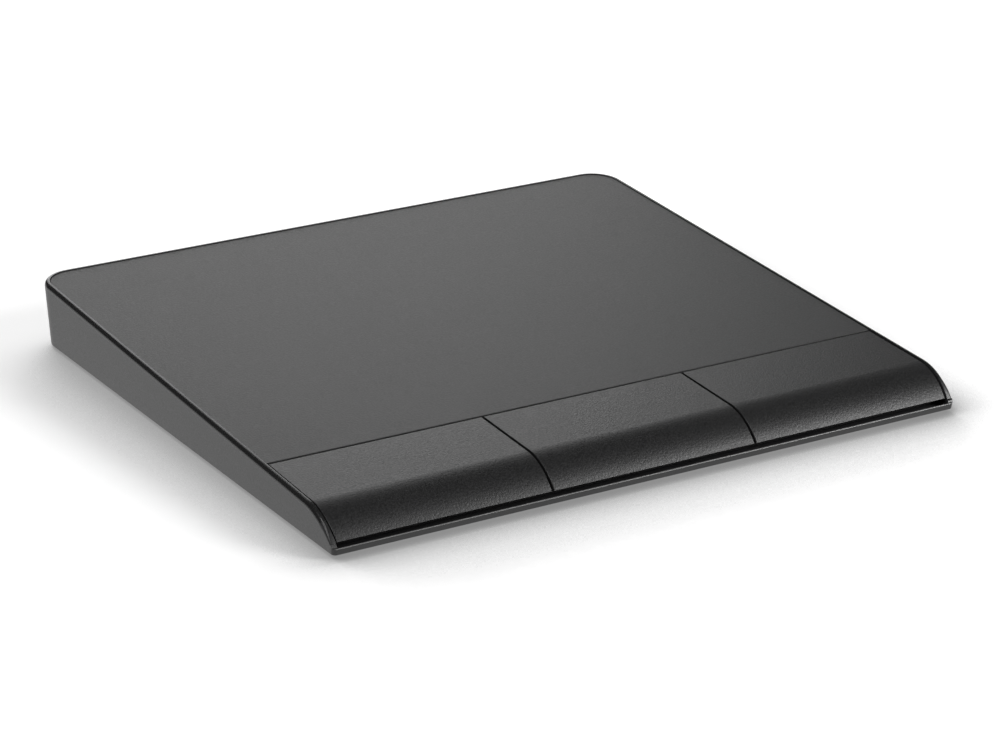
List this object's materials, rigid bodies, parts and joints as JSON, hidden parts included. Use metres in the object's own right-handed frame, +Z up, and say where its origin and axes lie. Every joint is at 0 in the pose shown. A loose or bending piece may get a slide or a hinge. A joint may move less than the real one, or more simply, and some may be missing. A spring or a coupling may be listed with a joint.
{
  "type": "trackpad",
  "caption": "Wedge-shaped cordless desk trackpad with a full-width matte touch panel and a row of wide sprung click buttons across its rounded front edge.",
  "frame": {"origin": "centre of the footprint, on the surface that the rubber feet stand on", "axes": "+X to the user's right along the button row, +Y away from the user towards the tall back, +Z up"},
  "size_m": [0.16, 0.1484, 0.0169],
  "materials": {
    "case_plastic": "satin moulded dark grey plastic",
    "panel_film": "fine matte textured film, dark grey",
    "button_plastic": "fine spark-textured dark grey plastic",
    "frame_plastic": "black moulded plastic",
    "circuit_board": "green solder mask",
    "chip_black": "moulded black chip package",
    "adhesive": "thin double-sided adhesive sheet",
    "flat_cable": "pale laminated flat cable",
    "steel": "plain steel",
    "contact_metal": "plated spring metal",
    "cell_jacket": "plain metallic jacket",
    "rubber": "soft black rubber"
  },
  "bodies": {
    "base": {"base_tray": "case_plastic", "support_frame": "frame_plastic", "touch_panel": "panel_film", "panel_adhesive": "adhesive", "sensor_board": "circuit_board", "touch_chip": "chip_black", "radio_module": "circuit_board", "hinge_rod": "steel", "switch_board": "circuit_board", "left_switch": "chip_black", "middle_switch": "chip_black", "right_switch": "chip_black", "ribbon_cable": "flat_cable", "ribbon_sockets": "chip_black", "battery_cells": "cell_jacket", "spring_contacts": "contact_metal", "plate_contacts": "contact_metal", "power_switch": "chip_black", "rubber_feet": "rubber", "case_screws": "steel", "board_screws": "steel"},
    "left_key": {"left_button": "button_plastic"},
    "middle_key": {"middle_button": "button_plastic"},
    "right_key": {"right_button": "button_plastic"},
    "left_stem": {"left_plunger": "frame_plastic"},
    "middle_stem": {"middle_plunger": "frame_plastic"},
    "right_stem": {"right_plunger": "frame_plastic"},
    "power_knob": {"power_slider": "frame_plastic"},
    "door": {"battery_door": "case_plastic"}
  },
  "joints": [
    {"name": "left_press", "type": "hinge", "parent": "base", "child": "left_key", "pos_m": [-0.05315, -0.03794, 0.00679], "axis": [1, 0, 0], "range_deg": [0, 1], "stiffness_Nm_per_rad": 0.55, "springref_deg": -1.72},
    {"name": "middle_press", "type": "hinge", "parent": "base", "child": "middle_key", "pos_m": [0, -0.03794, 0.00679], "axis": [1, 0, 0], "range_deg": [0, 1], "stiffness_Nm_per_rad": 0.55, "springref_deg": -1.72},
    {"name": "right_press", "type": "hinge", "parent": "base", "child": "right_key", "pos_m": [0.05315, -0.03794, 0.00679], "axis": [1, 0, 0], "range_deg": [0, 1], "stiffness_Nm_per_rad": 0.55, "springref_deg": -1.72},
    {"name": "left_plunge", "type": "slide", "parent": "base", "child": "left_stem", "axis": [0, 0, -1], "range_m": [0, 0.0004]},
    {"name": "middle_plunge", "type": "slide", "parent": "base", "child": "middle_stem", "axis": [0, 0, -1], "range_m": [0, 0.0004]},
    {"name": "right_plunge", "type": "slide", "parent": "base", "child": "right_stem", "axis": [0, 0, -1], "range_m": [0, 0.0004]},
    {"name": "power_slide", "type": "slide", "parent": "base", "child": "power_knob", "axis": [1, 0, 0], "range_m": [-0.0012, 0.0012]},
    {"name": "door_tilt", "type": "hinge", "parent": "base", "child": "door", "pos_m": [0, 0.0452, 0.0008], "axis": [1, 0, 0], "range_deg": [-60, 0]}
  ],
  "couplings": [
    {"joint": "left_plunge", "follows": "left_press", "m_per_rad": 0.020806},
    {"joint": "middle_plunge", "follows": "middle_press", "m_per_rad": 0.020806},
    {"joint": "right_plunge", "follows": "right_press", "m_per_rad": 0.020806}
  ]
}
